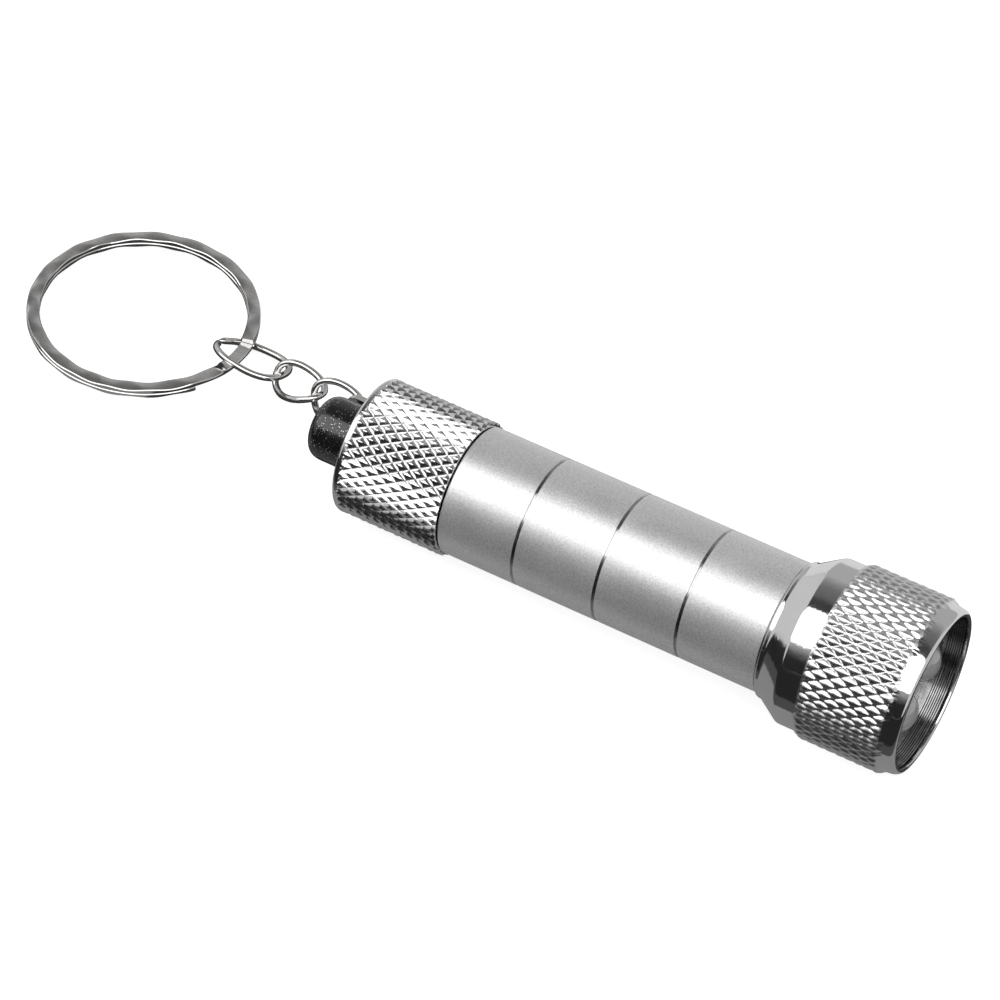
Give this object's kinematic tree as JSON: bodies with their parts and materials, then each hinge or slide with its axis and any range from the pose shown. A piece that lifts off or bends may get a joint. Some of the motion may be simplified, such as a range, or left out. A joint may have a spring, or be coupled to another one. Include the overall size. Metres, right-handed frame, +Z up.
{
  "type": "keychain flashlight",
  "caption": "Pocket flashlight with a knurled lamp head, a turned barrel, a screw-on tail cap with a push button, and a short chain to a split key ring.",
  "frame": {"origin": "centre of the front rim, in the plane that the head stands on when it is set down on its face", "axes": "+X along the beam, out of the head; +Z up; the chain leaves the tail at -X"},
  "size_m": [0.1105, 0.0305, 0.0188],
  "materials": {
    "satin_aluminium": "bead-blasted satin silver",
    "polished_chrome": "polished chrome plating",
    "dark_rubber": "matt",
    "clear_resin": "clear, polished",
    "white_plastic": "matt",
    "board_green": "solder mask",
    "tinned_lead": "tinned",
    "brass": "plain",
    "spring_steel": "bright",
    "black_plastic": "matt",
    "glitter_black": "gloss black with fine silver flakes",
    "nickel_wire": "nickel plated",
    "cell_steel": "nickel plated",
    "sleeve_film": "thin film",
    "chip_black": "ceramic chip"
  },
  "bodies": {
    "barrel": {"barrel": "satin_aluminium", "battery_sleeve": "sleeve_film", "cell_1": "cell_steel", "cell_2": "cell_steel", "cell_3": "cell_steel", "cell_4": "cell_steel"},
    "head_seal": {"head_o_ring": "dark_rubber"},
    "head": {"head_bezel": "polished_chrome", "led_holder": "black_plastic", "led_1": "clear_resin", "led_2": "clear_resin", "led_3": "clear_resin", "led_4": "clear_resin", "led_5": "clear_resin", "led_leads": "tinned_lead", "led_board": "board_green", "led_resistor": "chip_black", "board_pad": "brass", "front_spring": "spring_steel"},
    "switch_cartridge": {"switch_housing": "black_plastic", "contact_plate": "brass", "battery_spring": "spring_steel", "button_spring": "spring_steel", "ground_ring": "brass"},
    "button": {"push_button": "glitter_black", "switch_plunger": "white_plastic", "contact_bridge": "brass"},
    "rotor": {"ratchet_rotor": "white_plastic"},
    "tail_cap": {"tail_cap": "polished_chrome", "chain_eye": "nickel_wire"},
    "link_1": {"chain_link_1": "nickel_wire"},
    "link_2": {"chain_link_2": "nickel_wire"},
    "jump_link": {"jump_link": "nickel_wire"},
    "key_ring": {"split_ring": "nickel_wire"}
  },
  "joints": [
    {"name": "head_advance", "type": "slide", "parent": "barrel", "child": "head_seal", "axis": [1, 0, 0], "range_m": [0, 0.003]},
    {"name": "head_unscrew", "type": "hinge", "parent": "head_seal", "child": "head", "pos_m": [0, 0, 0], "axis": [1, 0, 0], "range_deg": [0, 1440]},
    {"name": "tail_advance", "type": "slide", "parent": "barrel", "child": "switch_cartridge", "axis": [-1, 0, 0], "range_m": [0, 0.003]},
    {"name": "tail_unscrew", "type": "hinge", "parent": "switch_cartridge", "child": "tail_cap", "pos_m": [-0.06, 0, 0], "axis": [-1, 0, 0], "range_deg": [0, 1440]},
    {"name": "button_press", "type": "slide", "parent": "switch_cartridge", "child": "button", "axis": [1, 0, 0], "range_m": [0, 0.0015], "stiffness_N_per_m": 400, "springref_m": -0.001, "deforming": ["button_spring"]},
    {"name": "rotor_turn", "type": "hinge", "parent": "button", "child": "rotor", "pos_m": [-0.054, 0, 0], "axis": [1, 0, 0], "range_deg": [0, 45]},
    {"name": "link_1_swing", "type": "hinge", "parent": "tail_cap", "child": "link_1", "pos_m": [-0.06938, 0.00539, -0.00134], "axis": [0, 0.9703, -0.2419], "range_deg": [-60, 40]},
    {"name": "link_2_swing", "type": "hinge", "parent": "link_1", "child": "link_2", "pos_m": [-0.07555, 0.00712, -0.00393], "axis": [-0.2194, 0.4845, 0.8468], "range_deg": [-50, 40]},
    {"name": "jump_link_swing", "type": "hinge", "parent": "link_2", "child": "jump_link", "pos_m": [-0.08115, 0.00872, -0.00494], "axis": [0.0174, 0.6062, 0.7951], "range_deg": [-60, 40]},
    {"name": "key_ring_swing", "type": "hinge", "parent": "jump_link", "child": "key_ring", "pos_m": [-0.08601, 0.00892, -0.00489], "axis": [-0.0349, 0.9994, 0.0009], "range_deg": [-8, 28]}
  ],
  "couplings": [
    {"joint": "head_unscrew", "follows": "head_advance", "rad_per_m": 8377},
    {"joint": "tail_unscrew", "follows": "tail_advance", "rad_per_m": 8377},
    {"joint": "rotor_turn", "follows": "button_press", "rad_per_m": 523.59}
  ]
}
